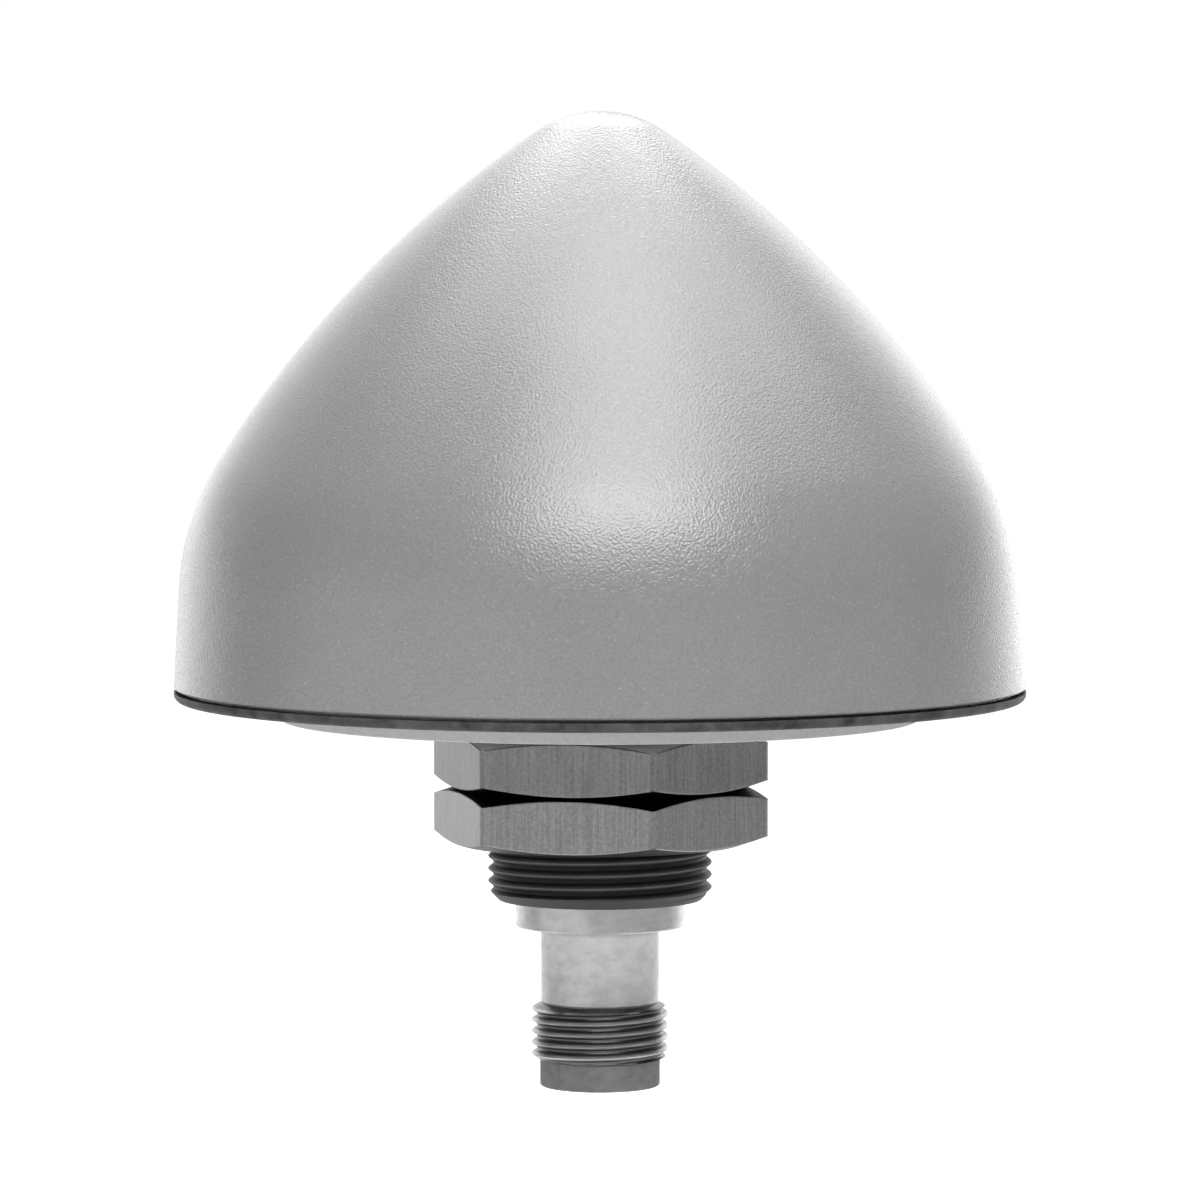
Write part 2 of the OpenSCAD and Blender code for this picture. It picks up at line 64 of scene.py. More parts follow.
def add(tree, kind, inputs=(), **settings):
    """Adds a node with its settings. An input is a value, a socket, or a node whose first output is meant.

    A Mix node's sockets share their names, so they go by number: 0 is the share of the second input, 2 and 3
    take numbers, 6 and 7 take colours, and output 2 is the mixed colour.
    """
    node = tree.nodes.new(kind)
    for setting, value in settings.items():
        setattr(node, setting, value)
    for key, value in inputs.items() if isinstance(inputs, dict) else enumerate(inputs):
        if isinstance(value, bpy.types.Node):
            value = value.outputs[0]
        if isinstance(value, bpy.types.NodeSocket):
            tree.links.new(value, node.inputs[key])
        else:
            node.inputs[key].default_value = value
    return node


def new_material(name, **constants):
    """A material, its node tree and its shader, with the constants set on the shader's own sockets."""
    material = bpy.data.materials.new(name)
    material.use_nodes = True
    shader = material.node_tree.nodes["Principled BSDF"]
    for socket, value in constants.items():
        shader.inputs[socket.replace("_", " ")].default_value = value
    return material, material.node_tree, shader


def axis_distance(tree, coordinates):
    """The distance of a point from the antenna's axis."""
    flat = add(tree, "ShaderNodeVectorMath", (coordinates, (1.0, 1.0, 0.0)), operation="MULTIPLY")
    return add(tree, "ShaderNodeVectorMath", (flat,), operation="LENGTH").outputs["Value"]


def turned(outline, turns=192, start=0.0):
    """A mesh turned about Z from (radius, height) points, either of which may be a function of the angle."""
    points = []
    for radius, height in outline:
        for step in range(turns):
            angle = start + math.tau * step / turns
            r = radius(angle) if callable(radius) else radius
            z = height(angle) if callable(height) else height
            points.append((r * math.cos(angle), r * math.sin(angle), z))
    faces = []
    for ring in range(0, (len(outline) - 1) * turns, turns):
        for step in range(turns):
            after = (step + 1) % turns
            faces.append((ring + step, ring + after, ring + turns + after, ring + turns + step))
    mesh = bpy.data.meshes.new("turned")
    mesh.from_pydata(points, [], faces)
    return mesh


def welded(name, material, *meshes):
    """An object of one closed mesh, welded from meshes whose rims meet, and smooth except at its edges."""
    shape = bmesh.new()
    for mesh in meshes:
        shape.from_mesh(mesh)
    bmesh.ops.remove_doubles(shape, verts=shape.verts, dist=WELD)
    bmesh.ops.dissolve_degenerate(shape, dist=WELD, edges=shape.edges)
    bmesh.ops.recalc_face_normals(shape, faces=shape.faces)
    result = bpy.data.meshes.new(name)
    shape.to_mesh(result)
    shape.free()
    # The normals that come with a CAD node would streak its smooth faces
    loaded_normals = result.attributes.get("custom_normal")
    if loaded_normals:
        result.attributes.remove(loaded_normals)
    result.materials.clear()
    result.materials.append(material)
    result.shade_smooth()
    result.set_sharp_from_angle(angle=SHARP_EDGE)
    piece = bpy.data.objects.new(name, result)
    bpy.context.scene.collection.objects.link(piece)
    return piece


def hexagon(across_flats, turn=0.0):
    """The radius of a hexagon as a function of the angle, with a corner at the turn."""
    def radius(angle):
        from_flat = (angle - turn) % math.radians(60) - math.radians(30)
        return across_flats / 2 / math.cos(from_flat)
    return radius


def thread_tree():
    """Nodes for a right-hand V thread on a bar, as a grid that is wound round the axis along its helix."""
    tree = bpy.data.node_groups.new("Thread on a turned bar", "GeometryNodeTree")
    for name in ("Crest Radius", "Pitch", "Depth", "Root Flat", "From Z", "To Z", "Lower Radius",
                 "Lead Slope", "Upper Radius", "Tail Slope"):
        tree.interface.new_socket(name, in_out="INPUT", socket_type="NodeSocketFloat")
    tree.interface.new_socket("Segments", in_out="INPUT", socket_type="NodeSocketInt")
    tree.interface.new_socket("Material", in_out="INPUT", socket_type="NodeSocketMaterial")
    tree.interface.new_socket("Mesh", in_out="OUTPUT", socket_type="NodeSocketGeometry")
    size = add(tree, "NodeGroupInput").outputs
    math_node = "ShaderNodeMath"

    # Eight rows in each turn: an eighth of the pitch is crest, and straight flanks lead to the flat root.
    # The rows climb with the helix, so they run one turn past the length, and one more row closes each end
    rows_in_turn = 8
    half_crest = 0.5 / rows_in_turn
    closing_rows = 2
    row_step = add(tree, math_node, (size["Pitch"], rows_in_turn), operation="DIVIDE")
    length = add(tree, math_node, (size["To Z"], size["From Z"]), operation="SUBTRACT")
    rows_cut = add(tree, math_node, (length, row_step), operation="DIVIDE")
    rows_whole = add(tree, math_node, (rows_cut,), operation="CEIL")
    gaps = add(tree, math_node, (rows_whole, rows_in_turn + closing_rows), operation="ADD")
    rows = add(tree, math_node, (gaps, 1), operation="ADD")
    columns = add(tree, math_node, (size["Segments"], 1), operation="ADD")
    grid = add(tree, "GeometryNodeMeshGrid", (1, 1, columns, rows))
    place = add(tree, "ShaderNodeSeparateXYZ", (add(tree, "GeometryNodeInputPosition"),))
    turn = add(tree, math_node, (place.outputs["X"], 0.5), operation="ADD")
    climb = add(tree, math_node, (place.outputs["Y"], 0.5), operation="ADD")

    # Height along the helix, held between the two ends
    row = add(tree, math_node, (climb, gaps), operation="MULTIPLY")
    row_turned = add(tree, math_node, (turn, rows_in_turn, row), operation="MULTIPLY_ADD")
    row_from_end = add(tree, math_node, (row_turned, rows_in_turn + closing_rows / 2), operation="SUBTRACT")
    height = add(tree, math_node, (row_from_end, row_step, size["From Z"]), operation="MULTIPLY_ADD")
    z = add(tree, "ShaderNodeClamp", (height, size["From Z"], size["To Z"]))

    # Depth of the groove at that height and turn
    above = add(tree, math_node, (z, size["From Z"]), operation="SUBTRACT")
    turns_up = add(tree, math_node, (above, size["Pitch"]), operation="DIVIDE")
    phase = add(tree, math_node, (turns_up, turn), operation="SUBTRACT")
    from_crest = add(tree, math_node, (phase, 0.5), operation="PINGPONG")
    flank_end = add(tree, math_node, (size["Root Flat"], -0.5, 0.5), operation="MULTIPLY_ADD")
    groove = add(tree, "ShaderNodeMapRange", {"Value": from_crest, "From Min": half_crest,
                 "From Max": flank_end, "To Min": 0.0, "To Max": size["Depth"]})
    cut = add(tree, math_node, (size["Crest Radius"], groove), operation="SUBTRACT")

    # A cone cuts the thread at each end: a lead at the lower end and a tail at the upper end
    lead = add(tree, math_node, (above, size["Lead Slope"], size["Lower Radius"]), operation="MULTIPLY_ADD")
    below = add(tree, math_node, (size["To Z"], z), operation="SUBTRACT")
    tail = add(tree, math_node, (below, size["Tail Slope"], size["Upper Radius"]), operation="MULTIPLY_ADD")
    started = add(tree, math_node, (cut, lead), operation="MINIMUM")
    radius = add(tree, math_node, (started, tail), operation="MINIMUM")

    # The first and last rows close the ends against the plain surfaces there
    within_a_row = 0.001
    is_first = add(tree, math_node, (climb, within_a_row), operation="LESS_THAN")
    is_last = add(tree, math_node, (climb, 1 - within_a_row), operation="GREATER_THAN")
    radius = add(tree, "ShaderNodeMix", {0: is_first, 2: radius, 3: size["Lower Radius"]})
    radius = add(tree, "ShaderNodeMix", {0: is_last, 2: radius, 3: size["Upper Radius"]})
    angle = add(tree, math_node, (turn, math.tau), operation="MULTIPLY")
    cosine = add(tree, math_node, (angle,), operation="COSINE")
    sine = add(tree, math_node, (angle,), operation="SINE")
    across = add(tree, math_node, (radius, cosine), operation="MULTIPLY")
    along = add(tree, math_node, (radius, sine), operation="MULTIPLY")
    on_helix = add(tree, "ShaderNodeCombineXYZ", (across, along, z))
    wound = add(tree, "GeometryNodeSetPosition", {"Geometry": grid, "Position": on_helix})
    closed = add(tree, "GeometryNodeMergeByDistance", {"Geometry": wound, "Distance": WELD})
    real = add(tree, "GeometryNodeRealizeInstances", {"Geometry": closed})
    painted = add(tree, "GeometryNodeSetMaterial", {"Geometry": real, "Material": size["Material"]})
    add(tree, "NodeGroupOutput", {"Mesh": painted})
    return tree


thread_nodes = thread_tree()


def threaded(**sizes):
    """The mesh of a thread of those sizes, taken from the tree as a plain mesh."""
    holder = bpy.data.objects.new("thread", bpy.data.meshes.new("thread"))
    bpy.context.scene.collection.objects.link(holder)
    modifier = holder.modifiers.new("thread", "NODES")
    modifier.node_group = thread_nodes
    for socket in thread_nodes.interface.items_tree:
        if socket.in_out == "INPUT":
            modifier[socket.identifier] = sizes[socket.name.lower().replace(" ", "_")]
    mesh = bpy.data.meshes.new_from_object(holder.evaluated_get(bpy.context.evaluated_depsgraph_get()))
    bpy.data.objects.remove(holder)
    return mesh


mounts = {mount["name"]: mount for mount in frame["record"]["mounts"]}
stud_low, stud_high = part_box("mounting_stud")
stud_r = mounts["stud_thread"]["dims"]["r_mm"] * MM
stud_pitch = 1.0 * MM
stud_chamfer = 0.85 * MM
stud_chamfer_slope = 1.0
stud_thread_top = 1.4 * MM
stud_thread_depth = 0.42 * MM
stud_root_flat = 0.25
flange_across_flats = stud_high.y - stud_low.y
flange_h = 2.5 * MM
flange_bottom = stud_high.z - flange_h
jack_bore_r = 6.05 * MM
jack_end_room = 0.05 * MM
jack_bore_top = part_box("connector_body")[1].z + jack_end_room
lead_bore_r = 4.0 * MM
stud_turns = 192

# Black oxide on cut steel: a dead satin black in small blotches. Painted shade darkens the thread's roots, a
# painted highlight lightens its crests, and the chamfer is paler
stud_black, tree, shader = new_material("black oxide on cut steel", IOR=1.5, Specular_IOR_Level=0.25)
coordinates = add(tree, "ShaderNodeTexCoord").outputs["Object"]
radius = axis_distance(tree, coordinates)
root_r = stud_r - stud_thread_depth
# Painted shade and painted highlight: darker toward the thread's roots and lighter toward its crests
painted_light = add(tree, "ShaderNodeMapRange", {"Value": radius, "From Min": root_r, "From Max": stud_r})
tones = add(tree, "ShaderNodeValToRGB", (painted_light,))
tones.color_ramp.elements[0].color = linear("#1a1a1a")
tones.color_ramp.elements[1].color = linear("#606060")
flank_share = 0.6
tones.color_ramp.elements.new(flank_share).color = linear("#363636")
height = add(tree, "ShaderNodeSeparateXYZ", (coordinates,)).outputs["Z"]
at_chamfer = add(tree, "ShaderNodeMath", (height, stud_low.z + stud_chamfer), operation="LESS_THAN")
tones = add(tree, "ShaderNodeMix", {0: at_chamfer, 6: tones, 7: linear("#424242")}, data_type="RGBA")
blotch_size = 2.5 * MM
blotch_share = 0.35
blotches = add(tree, "ShaderNodeTexNoise", {"Vector": coordinates, "Scale": 1 / blotch_size, "Detail": 4.0})
with_painted_shade = add(tree, "ShaderNodeMix", {0: blotch_share, 6: tones.outputs[2], 7: blotches},
           data_type="RGBA", blend_type="OVERLAY")
tree.links.new(with_painted_shade.outputs[2], shader.inputs["Base Color"])
dull = add(tree, "ShaderNodeMapRange", {"Value": blotches, "To Min": 0.4, "To Max": 0.6})
tree.links.new(dull.outputs[0], shader.inputs["Roughness"])

stud_end_r = stud_r - stud_chamfer
flange_side = hexagon(flange_across_flats)
stud_thread = threaded(crest_radius=stud_r, pitch=stud_pitch, depth=stud_thread_depth,
                       root_flat=stud_root_flat, from_z=stud_low.z, to_z=stud_thread_top,
                       lower_radius=stud_end_r, lead_slope=stud_chamfer_slope, upper_radius=stud_r,
                       tail_slope=stud_chamfer_slope, segments=stud_turns, material=stud_black)
stud_rest = turned([(stud_end_r, stud_low.z), (jack_bore_r, stud_low.z), (jack_bore_r, jack_bore_top),
                    (lead_bore_r, jack_bore_top), (lead_bore_r, stud_high.z), (flange_side, stud_high.z),
                    (flange_side, flange_bottom), (stud_r, flange_bottom), (stud_r, stud_thread_top)],
                   stud_turns)
stud = welded("mounting_stud_threaded", stud_black, stud_thread, stud_rest)
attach(stud, "root")
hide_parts("mounting_stud")


# Base: one moulding of dark glass-filled nylon round the stud's flange, with a spigot for the radome.
# Only its thin rounded rim and its underside show.

def smooth_copy(name, material, node):
    """A welded copy of a CAD node that shades smooth on its round faces, in its node's place."""
    copy = welded(name, material, frame["nodes"][node].data)
    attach(copy, "root")
    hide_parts(node)
    return copy


# Glass-filled nylon, moulded: dark grey and satin, with a fine skin, faint clouds from the glass and scuffs
# on its rim
base_black, tree, shader = new_material("glass-filled nylon, moulded", IOR=1.53, Specular_IOR_Level=0.1)
coordinates = add(tree, "ShaderNodeTexCoord").outputs["Object"]
skin_grain = 0.25 * MM
skin_depth = 0.01 * MM
skin = add(tree, "ShaderNodeTexNoise", {"Vector": coordinates, "Scale": 1 / skin_grain, "Detail": 3.0})
base_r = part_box("base_plate")[1].x
scuff_reach = 1.5 * MM
blotch_size = 2.2 * MM
blotches = add(tree, "ShaderNodeTexNoise", {"Vector": coordinates, "Scale": 1 / blotch_size, "Detail": 5.0,
               "Roughness": 0.65})
scuffs = add(tree, "ShaderNodeMapRange", {"Value": blotches, "From Min": 0.3, "From Max": 0.7})
radius = axis_distance(tree, coordinates)
at_rim = add(tree, "ShaderNodeMapRange", {"Value": radius, "From Min": base_r - scuff_reach,
             "From Max": base_r, "To Min": 0.25, "To Max": 1.0})
even_tone = 0.4
uneven = add(tree, "ShaderNodeMix", {0: at_rim, 2: even_tone, 3: scuffs})
tones = add(tree, "ShaderNodeMix", {0: uneven, 6: linear("#2c2c2c"), 7: linear("#626262")}, data_type="RGBA")
tree.links.new(tones.outputs[2], shader.inputs["Base Color"])
sheen = add(tree, "ShaderNodeMapRange", {"Value": skin, "To Min": 0.42, "To Max": 0.62})
tree.links.new(sheen.outputs[0], shader.inputs["Roughness"])
bump = add(tree, "ShaderNodeBump", {"Strength": 1.0, "Distance": skin_depth, "Height": skin})
tree.links.new(bump.outputs[0], shader.inputs["Normal"])
base = smooth_copy("base_moulding", base_black, "base_plate")


# Jack: a TNC socket body, turned from brass in one piece and nickel plated, screwed up into the stud.
# From the stud down it has a collar, a plain neck, the 7/16-28 coupling thread and a plain mouth.

jack_low, jack_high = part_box("connector_body")
collar_r = jack_high.x
collar_top = stud_low.z
collar_h = 2.15 * MM
collar_bottom = collar_top - collar_h
shank_r = 6.0 * MM
neck_r = 4.75 * MM
mouth_r = 4.825 * MM
mouth_edge = 0.12 * MM
collar_edge = 0.12 * MM
neck_fillet = 0.25 * MM
fillet_middle = 0.3 * neck_fillet
socket_r = 4.05 * MM
socket_chamfer = 0.3 * MM
socket_depth = 8.4 * MM
socket_back = jack_low.z + socket_depth
insulator_bore_r = 3.02 * MM
lead_seat_r = 1.12 * MM
lead_seat_depth = 4.0 * MM
insulator_back = jack_high.z - lead_seat_depth
seal_groove_r = 5.05 * MM
seal_groove_rise = 1.7 * MM
seal_groove_half = 0.85 * MM
seal_groove_z = collar_top + seal_groove_rise
groove_bottom = seal_groove_z - seal_groove_half
groove_top = seal_groove_z + seal_groove_half
coupling = mounts["coupling_thread"]
coupling_r = coupling["dims"]["r_mm"] * MM
coupling_half = coupling["dims"]["length_mm"] / 2 * MM
coupling_top = coupling["pos_m"][2] + coupling_half
coupling_bottom = coupling["pos_m"][2] - coupling_half
inch_in_mm = 25.4
threads_in_inch = 28
coupling_pitch = inch_in_mm / threads_in_inch * MM
coupling_depth = 0.5 * MM
coupling_root_flat = 0.2
coupling_relief = 0.15 * MM
coupling_lead_slope = 3.0
coupling_tail_slope = 2.0
jack_turns = 192

# Nickel plate on turned brass: soft silver with faint turning rings and cloudy tarnish, a collar painted
# lighter as painted light, painted shade in the thread's roots, a painted shadow under the collar, and a
# darker, duller mouth
nickel, tree, shader = new_material("nickel plate on turned brass")
coordinates = add(tree, "ShaderNodeTexCoord").outputs["Object"]
height = add(tree, "ShaderNodeSeparateXYZ", (coordinates,)).outputs["Z"]
radius = axis_distance(tree, coordinates)
tarnish_w = 1.3 * MM
tarnish_h = 0.7 * MM
tarnish_at = add(tree, "ShaderNodeMapping", {"Vector": coordinates,
                 "Scale": (1 / tarnish_w, 1 / tarnish_w, 1 / tarnish_h)})
tarnish = add(tree, "ShaderNodeTexNoise", {"Vector": tarnish_at, "Scale": 1.0, "Detail": 6.0,
              "Roughness": 0.65})
patches = add(tree, "ShaderNodeMapRange", {"Value": tarnish, "From Min": 0.4, "From Max": 0.75})
plate = add(tree, "ShaderNodeMix", {0: patches, 6: linear("#c2c2c2"), 7: linear("#acacac")}, data_type="RGBA")
# Painted light: the collar gets lighter tones than the rest of the plate
on_collar = add(tree, "ShaderNodeMath", (height, collar_bottom), operation="GREATER_THAN")
painted_light = add(tree, "ShaderNodeMix", {0: patches, 6: linear("#d0d0d0"), 7: linear("#b8b8b8")},
             data_type="RGBA")
plate = add(tree, "ShaderNodeMix", {0: on_collar, 6: plate.outputs[2], 7: painted_light.outputs[2]},
            data_type="RGBA")
# Painted shade in the coupling thread: darker toward its roots
unshaded_depth = 0.06 * MM
root_shade_depth = 0.3 * MM
in_root = add(tree, "ShaderNodeMapRange", {"Value": radius, "From Min": coupling_r - unshaded_depth,
              "From Max": coupling_r - root_shade_depth})
in_thread = add(tree, "ShaderNodeMath", (height, coupling["pos_m"][2], coupling_half), operation="COMPARE")
# Painted shadow: a dark band on the neck just under the collar
below_collar = add(tree, "ShaderNodeMath", (collar_bottom, height), operation="SUBTRACT")
corner_reach = 0.6 * MM
corner_full = 0.2 * MM
corner_share = 0.45
in_corner = add(tree, "ShaderNodeMapRange", {"Value": below_collar, "From Min": corner_reach,
                "From Max": corner_full, "To Min": 0.0, "To Max": corner_share})
on_neck = add(tree, "ShaderNodeMath", (radius, neck_r + neck_fillet), operation="LESS_THAN")
painted_collar_shadow = add(tree, "ShaderNodeMath", (in_corner, on_neck), operation="MULTIPLY")
# The painted shade in the thread's roots and the painted shadow under the collar darken the plate
painted_root_and_collar_shade = add(tree, "ShaderNodeMath", (in_root, in_thread, painted_collar_shadow), operation="MULTIPLY_ADD")
plate = add(tree, "ShaderNodeMix", {0: painted_root_and_collar_shade, 6: plate.outputs[2], 7: linear("#6c6c6c")}, data_type="RGBA")
at_mouth = add(tree, "ShaderNodeMath", (height, coupling_bottom), operation="LESS_THAN")
dull = add(tree, "ShaderNodeMix", {0: patches, 6: linear("#8c8c8c"), 7: linear("#727272")}, data_type="RGBA")
plate = add(tree, "ShaderNodeMix", {0: at_mouth, 6: plate.outputs[2], 7: dull.outputs[2]}, data_type="RGBA")
tree.links.new(plate.outputs[2], shader.inputs["Base Color"])
ring_gap = 0.12 * MM
ring_depth = 0.002 * MM
along_tool = add(tree, "ShaderNodeMath", (height, radius), operation="ADD")
rings = add(tree, "ShaderNodeTexNoise", {"W": along_tool, "Scale": 1 / ring_gap, "Detail": 2.0},
            noise_dimensions="1D")
bump = add(tree, "ShaderNodeBump", {"Strength": 1.0, "Distance": ring_depth, "Height": rings})
tree.links.new(bump.outputs[0], shader.inputs["Normal"])
satin = add(tree, "ShaderNodeMapRange", {"Value": tarnish, "To Min": 0.25, "To Max": 0.45})
mouth_dulling = 0.4
satin = add(tree, "ShaderNodeMath", (at_mouth, mouth_dulling, satin), operation="MULTIPLY_ADD")
tree.links.new(satin.outputs[0], shader.inputs["Roughness"])
bare = add(tree, "ShaderNodeMapRange", {"Value": at_mouth, "To Min": 1.0, "To Max": 0.3})
tree.links.new(bare.outputs[0], shader.inputs["Metallic"])

thread_top = coupling_top - coupling_relief
jack_thread = threaded(crest_radius=coupling_r, pitch=coupling_pitch, depth=coupling_depth,
                       root_flat=coupling_root_flat, from_z=coupling_bottom, to_z=thread_top,
                       lower_radius=mouth_r, lead_slope=coupling_lead_slope, upper_radius=neck_r,
                       tail_slope=coupling_tail_slope, segments=jack_turns, material=nickel)
jack_rest = turned([(neck_r, thread_top), (neck_r, collar_bottom - neck_fillet),
                    (neck_r + fillet_middle, collar_bottom - fillet_middle),
                    (neck_r + neck_fillet, collar_bottom), (collar_r - collar_edge, collar_bottom),
                    (collar_r, collar_bottom + collar_edge), (collar_r, collar_top - collar_edge),
                    (collar_r - collar_edge, collar_top), (shank_r, collar_top), (shank_r, groove_bottom),
                    (seal_groove_r, groove_bottom), (seal_groove_r, groove_top), (shank_r, groove_top),
                    (shank_r, jack_high.z), (lead_seat_r, jack_high.z), (lead_seat_r, insulator_back),
                    (insulator_bore_r, insulator_back), (insulator_bore_r, socket_back),
                    (socket_r, socket_back), (socket_r, jack_low.z + socket_chamfer),
                    (socket_r + socket_chamfer, jack_low.z), (mouth_r - mouth_edge, jack_low.z),
                    (mouth_r, jack_low.z + mouth_edge), (mouth_r, coupling_bottom)], jack_turns)
jack = welded("tnc_jack_body", nickel, jack_thread, jack_rest)
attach(jack, "root")
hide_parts("connector_body")


# Inside of the jack: a turned PTFE insulator with a slim nose, and a gold-plated socket contact with four
# sprung tines. Both are pressed in from behind and show only from below.

# PTFE, turned: waxy white with faint clouds
ptfe, tree, shader = new_material("PTFE, turned", IOR=1.38, Roughness=0.45, Subsurface_Weight=0.15)
coordinates = add(tree, "ShaderNodeTexCoord").outputs["Object"]
cloud_size = 0.8 * MM
cloud_depth = 0.01 * MM
clouds = add(tree, "ShaderNodeTexNoise", {"Vector": coordinates, "Scale": 1 / cloud_size, "Detail": 3.0})
tones = add(tree, "ShaderNodeMix", {0: clouds, 6: linear("#f2f0ea"), 7: linear("#dcd9d0")}, data_type="RGBA")
tree.links.new(tones.outputs[2], shader.inputs["Base Color"])
bump = add(tree, "ShaderNodeBump", {"Strength": 0.6, "Distance": cloud_depth, "Height": clouds})
tree.links.new(bump.outputs[0], shader.inputs["Normal"])
insulator = smooth_copy("ptfe_insulator", ptfe, "connector_insulator")

# Gold plate on turned brass: bright and warm, with fine flecks
gold, tree, shader = new_material("gold plate on brass, turned", Metallic=1.0)
coordinates = add(tree, "ShaderNodeTexCoord").outputs["Object"]
fleck_size = 0.15 * MM
flecks = add(tree, "ShaderNodeTexNoise", {"Vector": coordinates, "Scale": 1 / fleck_size, "Detail": 3.0})
tones = add(tree, "ShaderNodeMix", {0: flecks, 6: linear("#e3c06a"), 7: linear("#b98f3c")}, data_type="RGBA")
tree.links.new(tones.outputs[2], shader.inputs["Base Color"])
satin = add(tree, "ShaderNodeMapRange", {"Value": flecks, "To Min": 0.2, "To Max": 0.38})
tree.links.new(satin.outputs[0], shader.inputs["Roughness"])
contact = smooth_copy("socket_contact", gold, "connector_contact")


# Sealed inner pieces: seals, the semi-rigid lead, the board with its amplifier and can, the patch and the
# screws. The radome and the base close them in, so they keep their CAD solids and get their real finishes.

def flecked(name, light, dark, fleck, roughness, metallic=0.0):
    """A finish whose colour and sheen wander between two tones over flecks of a real size."""
    material, tree, shader = new_material(name, Metallic=metallic)
    coordinates = add(tree, "ShaderNodeTexCoord").outputs["Object"]
    flecks = add(tree, "ShaderNodeTexNoise", {"Vector": coordinates, "Scale": 1 / fleck, "Detail": 4.0})
    tones = add(tree, "ShaderNodeMix", {0: flecks, 6: linear(light), 7: linear(dark)}, data_type="RGBA")
    tree.links.new(tones.outputs[2], shader.inputs["Base Color"])
    sheen_spread = 0.1
    satin = add(tree, "ShaderNodeMapRange", {"Value": flecks, "To Min": roughness - sheen_spread,
                "To Max": roughness + sheen_spread})
    tree.links.new(satin.outputs[0], shader.inputs["Roughness"])
    return material


silicone = flecked("silicone rubber, moulded", "#8f3424", "#74281b", 0.4 * MM, 0.6)
copper = flecked("copper tube, drawn", "#d08a5c", "#9c5c37", 0.3 * MM, 0.35, 1.0)
zinc = flecked("zinc plate on steel screws", "#b9bcbd", "#8d9092", 0.5 * MM, 0.35, 1.0)
laminate = flecked("solder mask on glass laminate", "#17633a", "#0e4a2a", 0.6 * MM, 0.3)
tinplate = flecked("tinned steel sheet, pressed", "#c9c9c4", "#a4a49f", 0.8 * MM, 0.35, 1.0)
pad_foam = flecked("acrylic foam tape", "#e0ded2", "#c9c6b8", 0.3 * MM, 0.8)
ceramic = flecked("microwave ceramic, fired", "#cfc1a8", "#b7a88d", 0.2 * MM, 0.7)
silver = flecked("silver paste, printed and fired", "#d8d8d4", "#b4b4af", 0.25 * MM, 0.45, 1.0)
epoxy = flecked("filled epoxy, transfer moulded", "#2b2b2c", "#1c1c1d", 0.15 * MM, 0.55)
for material, nodes in (
        (silicone, ("radome_seal", "connector_seal")),
        (copper, ("coax_shield", "coax_core")),
        (ptfe, ("coax_dielectric",)),
        (zinc, ("radome_screws", "board_screws")),
        (laminate, ("circuit_board",)),
        (tinplate, ("shield_can",)),
        (pad_foam, ("patch_pad",)),
        (ceramic, ("patch_ceramic", "saw_filters", "chip_capacitors")),
        (silver, ("patch_electrode",)),
        (gold, ("feed_pin",)),
        (epoxy, ("amplifier_chips", "voltage_regulator", "chip_inductors"))):
    for node in nodes:
        frame["nodes"][node].material_slots[0].material = material


# Radome: a thin pointed shell, moulded in one piece from weather-proof grey plastic with a fine eroded grain.
# It stands on the base's rim, over a shadow line, and four inner bosses take screws from below.

radome_low, radome_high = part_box("radome")
edge_r = radome_high.x
rim_z = radome_low.z
shadow_gap = 0.25 * MM
shadow_depth = 0.8 * MM
edge_z = rim_z + shadow_gap
apex = radome_high.z
wall = 2.2 * MM
mid_wall = wall / 2
skirt_h = 8.0 * MM
skirt_lean, shoulder_lean, nose_lean, tip_lean = (math.radians(a) for a in (3, 32, 56, 90))
nose_r = 9.0 * MM
shoulder_steps, flank_steps, nose_steps = 24, 40, 24
foot_r = edge_r - shadow_depth
land_r = edge_r - wall
land_h = 5.6 * MM
land_z = rim_z + land_h
edge_round = 0.15 * MM
boss_circle = 22.5 * MM
boss_r = 3.0 * MM
boss_pilot_r = 1.3 * MM
boss_turn = math.radians(22.5)
boss_count = 4
boss_turns = 48
boss_foot_h = 4.02 * MM
boss_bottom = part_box("base_plate")[0].z + boss_foot_h
pilot_spare = 1.0 * MM
boss_pilot_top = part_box("radome_screws")[1].z + pilot_spare
radome_turns = 256


def heading(lean):
    """The outward direction, in the plane of radius and height, of a wall that leans so far from upright."""
    return Vector((math.cos(lean), math.sin(lean)))


# A leaning skirt and three arcs, each tangent to the last. The shoulder's and the flank's radii follow
skirt_end = Vector((edge_r - skirt_h * math.tan(skirt_lean), edge_z + skirt_h))
nose_centre = Vector((0.0, apex - nose_r))
shoulder_turn = heading(skirt_lean) - heading(shoulder_lean)
flank_turn = heading(shoulder_lean) - heading(nose_lean)
span = skirt_end - nose_centre - nose_r * heading(nose_lean)
shoulder_r = span.cross(flank_turn) / shoulder_turn.cross(flank_turn)
flank_r = shoulder_turn.cross(span) / shoulder_turn.cross(flank_turn)
shoulder_centre = skirt_end - shoulder_r * heading(skirt_lean)
flank_centre = shoulder_centre + (shoulder_r - flank_r) * heading(shoulder_lean)


def dome_profile(depth, from_z):
    """The dome's (radius, height) points at a depth in its wall, from a height on the skirt to the axis."""
    top = skirt_end - depth * heading(skirt_lean)
    points = [(top.x + (top.y - from_z) * math.tan(skirt_lean), from_z), tuple(top)]
    for centre, radius, first, last, steps in (
            (shoulder_centre, shoulder_r, skirt_lean, shoulder_lean, shoulder_steps),
            (flank_centre, flank_r, shoulder_lean, nose_lean, flank_steps),
            (nose_centre, nose_r, nose_lean, tip_lean, nose_steps)):
        for step in range(1, steps + 1):
            lean = first + (last - first) * step / steps
            points.append(tuple(centre + (radius - depth) * heading(lean)))
    points[-1] = (0.0, points[-1][1])
    return points


